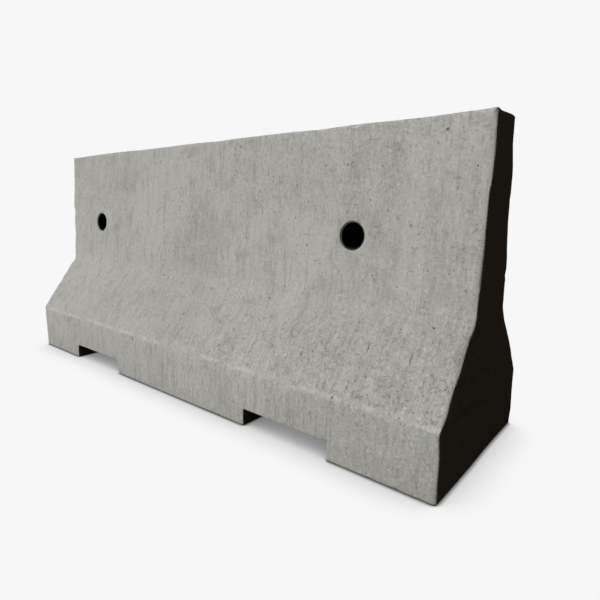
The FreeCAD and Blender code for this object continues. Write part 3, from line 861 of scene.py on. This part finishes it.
# %% [markdown]
# ## The cage
# The cage can't be seen once the concrete has set, but it is there, and someone who takes the part apart finds
# it. Bars leave the mill blue-grey and rust in patches where they lay outdoors. Tie wire is annealed, so it is
# near black with a dull shine. The wheel spacers are plain grey plastic. The CAD pieces stay as they are, and
# the patterns are placed in real size on their own coordinates.

# %% Make the cage's finishes
MILL_SCALE = tint(0.085, 0.088, 0.095)
RUST = tint(0.235, 0.090, 0.035)
DEEP_RUST = tint(0.105, 0.036, 0.016)
WIRE_BLACK = tint(0.035, 0.034, 0.036)
WIRE_BROWN = tint(0.120, 0.060, 0.034)
SPACER_GREY = tint(0.150, 0.155, 0.160)
SPACER_PALE = tint(0.240, 0.245, 0.250)


def make_bar_finish():
    f = Finish("rusted_bar", roughness=0.7, specular=0.5)
    blotches = f.noise(26.0, detail=5.0, roughness=0.65)
    pits = f.noise(420.0, detail=3.0, roughness=0.6)
    rust = blotches.ramp(0.42, 0.60)
    colour = f.coat(MILL_SCALE, [(rust, RUST), (pits.ramp(0.52, 0.72) * rust * 0.8, DEEP_RUST)])
    relief = f.bump(pits * 0.7 + blotches * 0.3, distance=0.0006)
    return f.finish(colour, 0.45 + rust * 0.42, relief, metallic=0.85 - rust * 0.8)


def make_wire_finish():
    f = Finish("annealed_wire", roughness=0.45, specular=0.5)
    drawn = f.noise(900.0)
    colour = f.mix(drawn.ramp(0.5, 0.75), WIRE_BLACK, WIRE_BROWN)
    return f.finish(colour, 0.35 + drawn * 0.25, f.bump(drawn, distance=0.0002), metallic=0.9 - drawn * 0.3)


def make_spacer_finish():
    f = Finish("spacer_plastic", roughness=0.55, specular=0.5)
    mould_grain = f.noise(1100.0)
    dust = f.noise(40.0, detail=4.0).ramp(0.48, 0.70)
    colour = f.mix(dust * 0.7, SPACER_GREY, SPACER_PALE)
    return f.finish(colour, 0.5 + dust * 0.25, f.bump(mould_grain, distance=0.0001))


FINISHES = {"reinforcing_steel": make_bar_finish(), "tie_wire": make_wire_finish(), "spacer": make_spacer_finish()}
print("finishes for the cage:", [material.name for material in FINISHES.values()])

# %% [markdown]
# The record says which slot each CAD piece takes its finish from, so no piece has to be listed by hand.

# %% Dress the cage
for slot, material in FINISHES.items():
    nodes = [part["node"] for part in frame["record"]["subparts"] if part["material_slot"] == slot]
    dress(nodes, material)
    print(slot, len(nodes), "pieces")

# %% [markdown]
# ## The studio's floor
# The unit stands on a pale floor that runs to the horizon and meets a backdrop of the same tone, as in a
# catalogue studio. A white floor under lamps would show a horizon, so the floor glows evenly, and its shadow is
# painted: an occlusion mask dims the glow close to the unit, widely and faintly, and hard in the last centimetre.
# It throws no light on the unit itself.

# %% Lay the floor
BACKDROP = 0.93
IN_SHADE, SHADE_REACH = 0.20, 0.16
IN_CONTACT, CONTACT_REACH = 0.05, 0.016
FLOOR_HALF = 40.0


def grey(level):
    return tint(level, level, level)


def lay_floor():
    bm = bmesh.new()
    bmesh.ops.create_grid(bm, x_segments=1, y_segments=1, size=FLOOR_HALF)
    floor = new_object("floor", bm)
    f = Finish("glowing_floor_with_painted_shadow", roughness=1.0, specular=0.0)
    f.shader.inputs["Base Color"].default_value = grey(0.0)
    f.shader.inputs["Emission Strength"].default_value = 1.0
    near, close = (
        f.node("ShaderNodeAmbientOcclusion", {"samples": 16}, {"Distance": reach}, output="AO")
        for reach in (SHADE_REACH, CONTACT_REACH)
    )
    # painted shadow: the floor's glow dims where an occlusion mask finds the unit close by
    glow_with_painted_shadow = f.mix(near.ramp(0.0, 0.9), grey(IN_SHADE), grey(BACKDROP))
    # painted contact shadow in the last centimetre next to the unit
    f.feed(f.shader.inputs["Emission Color"], f.mix(close.ramp(0.9, 0.4) * 0.8, glow_with_painted_shadow, grey(IN_CONTACT)))
    floor.data.materials.append(f.material)
    floor.visible_diffuse = False
    floor.visible_glossy = False
    return floor


print("floor:", list(lay_floor().dimensions))

# %% [markdown]
# ## The studio's light
# The long face is lit by a broad soft key from the front and left. The near end turns away from it and stays
# almost black, because only a faint warm bounce comes from that side. A second soft lamp behind the unit keeps
# its back readable. The room itself glows from above, the front and the left, and fades away towards the near
# end.

# %% Light the unit
KEY_FROM, KEY_STRENGTH = Vector((-0.55, -1.0, 0.42)), 3.1
BACK_FROM, BACK_STRENGTH = Vector((-0.7, 1.0, 0.55)), 2.4
BOUNCE_FROM, BOUNCE_STRENGTH = Vector((1.0, -0.15, 0.35)), 0.060
WHITE, WARM = (1.0, 1.0, 1.0), (1.0, 0.78, 0.58)
LAMP_SOFTNESS = math.radians(28.0)
SIDEWAYS_FADE = {"low": -0.35, "high": 0.45, "start": 1.0, "end": 0.08}
UPWARDS_FADE = {"low": -0.05, "high": 0.9, "start": 0.12, "end": 3.4}


def hang_lamp(name, comes_from, strength, colour):
    lamp = bpy.data.objects.new(name, bpy.data.lights.new(name, "SUN"))
    lamp.data.energy = strength
    lamp.data.angle = LAMP_SOFTNESS
    lamp.data.color = colour
    lamp.rotation_euler = (-comes_from).to_track_quat("-Z", "Y").to_euler()
    bpy.context.scene.collection.objects.link(lamp)


def light_the_room():
    """A glow that the unit sees, and an even backdrop that the camera sees."""
    world = bpy.data.worlds.new("studio")
    world.use_nodes = True
    bpy.context.scene.world = world
    room = Wiring(world.node_tree)
    glow = room.tree.nodes["Background"]
    x, _, z = room.axes(room.node("ShaderNodeTexCoord", output="Generated"))
    room.feed(glow.inputs["Strength"], x.ramp(**SIDEWAYS_FADE) * z.ramp(**UPWARDS_FADE))
    seen = room.node("ShaderNodeLightPath", output="Is Camera Ray")
    backdrop = room.node("ShaderNodeBackground", None, {"Color": grey(BACKDROP)})
    choice = room.node("ShaderNodeMixShader", None, {0: seen, 1: Mask(room, glow.outputs[0]), 2: backdrop})
    room.feed(room.tree.nodes["World Output"].inputs["Surface"], choice)


hang_lamp("key", KEY_FROM, KEY_STRENGTH, WHITE)
hang_lamp("back", BACK_FROM, BACK_STRENGTH, WHITE)
hang_lamp("bounce", BOUNCE_FROM, BOUNCE_STRENGTH, WARM)
light_the_room()
bpy.context.scene.view_settings.view_transform = "Standard"

# %% [markdown]
